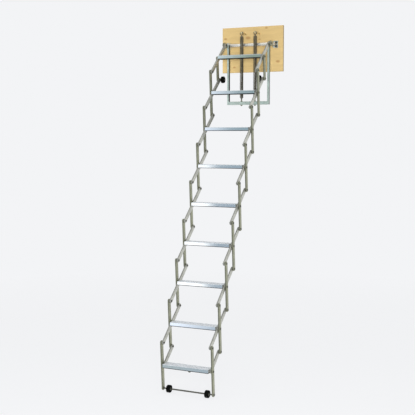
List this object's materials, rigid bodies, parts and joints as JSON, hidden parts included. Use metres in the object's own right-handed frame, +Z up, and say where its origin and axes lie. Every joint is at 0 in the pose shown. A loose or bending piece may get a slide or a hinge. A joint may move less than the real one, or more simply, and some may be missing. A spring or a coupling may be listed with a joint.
{
  "type": "concertina loft ladder",
  "caption": "Wall-hung concertina loft ladder: pinned scissor bars carry level ribbed treads below a sprung swing frame on a plywood board, with rollers and foot wheels.",
  "frame": {"origin": "centre of the mounting board's back face, where it meets the wall", "axes": "+X to the right as one faces the wall, +Y into the wall, +Z up"},
  "size_m": [0.48, 1.1069, 2.472],
  "materials": {
    "plywood": "bare plywood",
    "frame_zinc": "bright zinc plate",
    "bar_zinc": "yellowish zinc plate",
    "tread_aluminium": "mill-finish extrusion",
    "wheel_rubber": "matt black",
    "spring_steel": "dark oiled steel"
  },
  "bodies": {
    "wall_mount": {"mounting_board": "plywood", "wall_brackets": "frame_zinc", "spring_pegs": "frame_zinc"},
    "swing_frame": {"swing_axle": "frame_zinc", "frame_arms": "frame_zinc", "frame_legs": "frame_zinc", "frame_bottom_bar": "frame_zinc", "spring_anchors": "bar_zinc"},
    "spring_left": {"spring_left": "spring_steel"},
    "spring_right": {"spring_right": "spring_steel"},
    "inner_bars_1": {"inner_bars_1": "bar_zinc"},
    "outer_bars_1": {"outer_bars_1": "bar_zinc"},
    "tread_1": {"tread_1": "tread_aluminium"},
    "inner_bars_2": {"inner_bars_2": "bar_zinc"},
    "outer_bars_2": {"outer_bars_2": "bar_zinc"},
    "tread_2": {"tread_2": "tread_aluminium"},
    "inner_bars_3": {"inner_bars_3": "bar_zinc"},
    "outer_bars_3": {"outer_bars_3": "bar_zinc"},
    "tread_3": {"tread_3": "tread_aluminium"},
    "inner_bars_4": {"inner_bars_4": "bar_zinc"},
    "outer_bars_4": {"outer_bars_4": "bar_zinc"},
    "tread_4": {"tread_4": "tread_aluminium"},
    "inner_bars_5": {"inner_bars_5": "bar_zinc"},
    "outer_bars_5": {"outer_bars_5": "bar_zinc"},
    "tread_5": {"tread_5": "tread_aluminium"},
    "inner_bars_6": {"inner_bars_6": "bar_zinc"},
    "outer_bars_6": {"outer_bars_6": "bar_zinc"},
    "tread_6": {"tread_6": "tread_aluminium"},
    "inner_bars_7": {"inner_bars_7": "bar_zinc"},
    "outer_bars_7": {"outer_bars_7": "bar_zinc"},
    "tread_7": {"tread_7": "tread_aluminium"},
    "inner_bars_8": {"inner_bars_8": "bar_zinc"},
    "outer_bars_8": {"outer_bars_8": "bar_zinc"},
    "tread_8": {"tread_8": "tread_aluminium"},
    "inner_bars_9": {"inner_bars_9": "bar_zinc"},
    "outer_bars_9": {"outer_bars_9": "bar_zinc", "bottom_rod": "bar_zinc"},
    "tread_9": {"tread_9": "tread_aluminium", "pull_eye": "bar_zinc"},
    "top_roller_left": {"top_roller_left": "wheel_rubber"},
    "bottom_wheel_left": {"bottom_wheel_left": "wheel_rubber"},
    "top_roller_right": {"top_roller_right": "wheel_rubber"},
    "bottom_wheel_right": {"bottom_wheel_right": "wheel_rubber"}
  },
  "joints": [
    {"name": "frame_swing", "type": "hinge", "parent": "wall_mount", "child": "swing_frame", "pos_m": [0, -0.0648, 0.03], "axis": [-1, 0, 0], "range_deg": [0, 80], "deforming": ["spring_left", "spring_right"]},
    {"name": "fold", "type": "hinge", "parent": "swing_frame", "child": "inner_bars_1", "pos_m": [0, -0.118, 0.0295], "axis": [-1, 0, 0], "range_deg": [0, 57.5]},
    {"name": "outer_bars_1_pivot", "type": "hinge", "parent": "inner_bars_1", "child": "outer_bars_1", "pos_m": [0, -0.23303, -0.07335], "axis": [1, 0, 0], "range_deg": [0, 115]},
    {"name": "outer_bars_2_pivot", "type": "hinge", "parent": "inner_bars_1", "child": "outer_bars_2", "pos_m": [0, -0.34805, -0.17619], "axis": [1, 0, 0], "range_deg": [0, 115]},
    {"name": "inner_bars_2_pivot", "type": "hinge", "parent": "outer_bars_2", "child": "inner_bars_2", "pos_m": [0, -0.33826, -0.33018], "axis": [-1, 0, 0], "range_deg": [0, 115]},
    {"name": "outer_bars_3_pivot", "type": "hinge", "parent": "inner_bars_2", "child": "outer_bars_3", "pos_m": [0, -0.45328, -0.43303], "axis": [1, 0, 0], "range_deg": [0, 115]},
    {"name": "inner_bars_3_pivot", "type": "hinge", "parent": "outer_bars_3", "child": "inner_bars_3", "pos_m": [0, -0.44349, -0.58701], "axis": [-1, 0, 0], "range_deg": [0, 115]},
    {"name": "outer_bars_4_pivot", "type": "hinge", "parent": "inner_bars_3", "child": "outer_bars_4", "pos_m": [0, -0.55852, -0.68986], "axis": [1, 0, 0], "range_deg": [0, 115]},
    {"name": "inner_bars_4_pivot", "type": "hinge", "parent": "outer_bars_4", "child": "inner_bars_4", "pos_m": [0, -0.54872, -0.84385], "axis": [-1, 0, 0], "range_deg": [0, 115]},
    {"name": "outer_bars_5_pivot", "type": "hinge", "parent": "inner_bars_4", "child": "outer_bars_5", "pos_m": [0, -0.66375, -0.9467], "axis": [1, 0, 0], "range_deg": [0, 115]},
    {"name": "inner_bars_5_pivot", "type": "hinge", "parent": "outer_bars_5", "child": "inner_bars_5", "pos_m": [0, -0.65395, -1.10068], "axis": [-1, 0, 0], "range_deg": [0, 115]},
    {"name": "outer_bars_6_pivot", "type": "hinge", "parent": "inner_bars_5", "child": "outer_bars_6", "pos_m": [0, -0.76898, -1.20353], "axis": [1, 0, 0], "range_deg": [0, 115]},
    {"name": "inner_bars_6_pivot", "type": "hinge", "parent": "outer_bars_6", "child": "inner_bars_6", "pos_m": [0, -0.75918, -1.35752], "axis": [-1, 0, 0], "range_deg": [0, 115]},
    {"name": "outer_bars_7_pivot", "type": "hinge", "parent": "inner_bars_6", "child": "outer_bars_7", "pos_m": [0, -0.87421, -1.46036], "axis": [1, 0, 0], "range_deg": [0, 115]},
    {"name": "inner_bars_7_pivot", "type": "hinge", "parent": "outer_bars_7", "child": "inner_bars_7", "pos_m": [0, -0.86441, -1.61435], "axis": [-1, 0, 0], "range_deg": [0, 115]},
    {"name": "outer_bars_8_pivot", "type": "hinge", "parent": "inner_bars_7", "child": "outer_bars_8", "pos_m": [0, -0.97944, -1.7172], "axis": [1, 0, 0], "range_deg": [0, 115]},
    {"name": "inner_bars_8_pivot", "type": "hinge", "parent": "outer_bars_8", "child": "inner_bars_8", "pos_m": [0, -0.96964, -1.87119], "axis": [-1, 0, 0], "range_deg": [0, 115]},
    {"name": "outer_bars_9_pivot", "type": "hinge", "parent": "inner_bars_8", "child": "outer_bars_9", "pos_m": [0, -1.08467, -1.97403], "axis": [1, 0, 0], "range_deg": [0, 115]},
    {"name": "inner_bars_9_pivot", "type": "hinge", "parent": "outer_bars_9", "child": "inner_bars_9", "pos_m": [0, -1.07487, -2.12802], "axis": [-1, 0, 0], "range_deg": [0, 115]},
    {"name": "tread_1_pivot", "type": "hinge", "parent": "outer_bars_1", "child": "tread_1", "pos_m": [0, -0.23303, -0.07335], "axis": [-1, 0, 0], "range_deg": [0, 57.5]},
    {"name": "tread_2_pivot", "type": "hinge", "parent": "outer_bars_2", "child": "tread_2", "pos_m": [0, -0.33826, -0.33018], "axis": [-1, 0, 0], "range_deg": [0, 57.5]},
    {"name": "tread_3_pivot", "type": "hinge", "parent": "outer_bars_3", "child": "tread_3", "pos_m": [0, -0.44349, -0.58701], "axis": [-1, 0, 0], "range_deg": [0, 57.5]},
    {"name": "tread_4_pivot", "type": "hinge", "parent": "outer_bars_4", "child": "tread_4", "pos_m": [0, -0.54872, -0.84385], "axis": [-1, 0, 0], "range_deg": [0, 57.5]},
    {"name": "tread_5_pivot", "type": "hinge", "parent": "outer_bars_5", "child": "tread_5", "pos_m": [0, -0.65395, -1.10068], "axis": [-1, 0, 0], "range_deg": [0, 57.5]},
    {"name": "tread_6_pivot", "type": "hinge", "parent": "outer_bars_6", "child": "tread_6", "pos_m": [0, -0.75918, -1.35752], "axis": [-1, 0, 0], "range_deg": [0, 57.5]},
    {"name": "tread_7_pivot", "type": "hinge", "parent": "outer_bars_7", "child": "tread_7", "pos_m": [0, -0.86441, -1.61435], "axis": [-1, 0, 0], "range_deg": [0, 57.5]},
    {"name": "tread_8_pivot", "type": "hinge", "parent": "outer_bars_8", "child": "tread_8", "pos_m": [0, -0.96964, -1.87119], "axis": [-1, 0, 0], "range_deg": [0, 57.5]},
    {"name": "tread_9_pivot", "type": "hinge", "parent": "outer_bars_9", "child": "tread_9", "pos_m": [0, -1.07487, -2.12802], "axis": [-1, 0, 0], "range_deg": [0, 57.5]},
    {"name": "spring_left_swing", "type": "hinge", "parent": "wall_mount", "child": "spring_left", "pos_m": [0, -0.091, 0.115], "axis": [-1, 0, 0], "range_deg": [0, 70.9]},
    {"name": "spring_right_swing", "type": "hinge", "parent": "wall_mount", "child": "spring_right", "pos_m": [0, -0.091, 0.115], "axis": [-1, 0, 0], "range_deg": [0, 70.9]},
    {"name": "top_roller_left_spin", "type": "hinge", "parent": "outer_bars_1", "child": "top_roller_left", "pos_m": [0, -0.22323, -0.22734], "axis": [1, 0, 0], "continuous": true},
    {"name": "top_roller_right_spin", "type": "hinge", "parent": "outer_bars_1", "child": "top_roller_right", "pos_m": [0, -0.22323, -0.22734], "axis": [1, 0, 0], "continuous": true},
    {"name": "bottom_wheel_left_spin", "type": "hinge", "parent": "outer_bars_9", "child": "bottom_wheel_left", "pos_m": [0, -1.06508, -2.28201], "axis": [1, 0, 0], "continuous": true},
    {"name": "bottom_wheel_right_spin", "type": "hinge", "parent": "outer_bars_9", "child": "bottom_wheel_right", "pos_m": [0, -1.06508, -2.28201], "axis": [1, 0, 0], "continuous": true}
  ],
  "couplings": [
    {"joint": "outer_bars_1_pivot", "follows": "fold", "ratio": 2},
    {"joint": "outer_bars_2_pivot", "follows": "fold", "ratio": 2},
    {"joint": "inner_bars_2_pivot", "follows": "fold", "ratio": 2},
    {"joint": "outer_bars_3_pivot", "follows": "fold", "ratio": 2},
    {"joint": "inner_bars_3_pivot", "follows": "fold", "ratio": 2},
    {"joint": "outer_bars_4_pivot", "follows": "fold", "ratio": 2},
    {"joint": "inner_bars_4_pivot", "follows": "fold", "ratio": 2},
    {"joint": "outer_bars_5_pivot", "follows": "fold", "ratio": 2},
    {"joint": "inner_bars_5_pivot", "follows": "fold", "ratio": 2},
    {"joint": "outer_bars_6_pivot", "follows": "fold", "ratio": 2},
    {"joint": "inner_bars_6_pivot", "follows": "fold", "ratio": 2},
    {"joint": "outer_bars_7_pivot", "follows": "fold", "ratio": 2},
    {"joint": "inner_bars_7_pivot", "follows": "fold", "ratio": 2},
    {"joint": "outer_bars_8_pivot", "follows": "fold", "ratio": 2},
    {"joint": "inner_bars_8_pivot", "follows": "fold", "ratio": 2},
    {"joint": "outer_bars_9_pivot", "follows": "fold", "ratio": 2},
    {"joint": "inner_bars_9_pivot", "follows": "fold", "ratio": 2},
    {"joint": "tread_1_pivot", "follows": "fold", "ratio": 1},
    {"joint": "tread_2_pivot", "follows": "fold", "ratio": 1},
    {"joint": "tread_3_pivot", "follows": "fold", "ratio": 1},
    {"joint": "tread_4_pivot", "follows": "fold", "ratio": 1},
    {"joint": "tread_5_pivot", "follows": "fold", "ratio": 1},
    {"joint": "tread_6_pivot", "follows": "fold", "ratio": 1},
    {"joint": "tread_7_pivot", "follows": "fold", "ratio": 1},
    {"joint": "tread_8_pivot", "follows": "fold", "ratio": 1},
    {"joint": "tread_9_pivot", "follows": "fold", "ratio": 1},
    {"joint": "spring_left_swing", "follows": "frame_swing", "ratio": 0.8853},
    {"joint": "spring_right_swing", "follows": "frame_swing", "ratio": 0.8853}
  ]
}
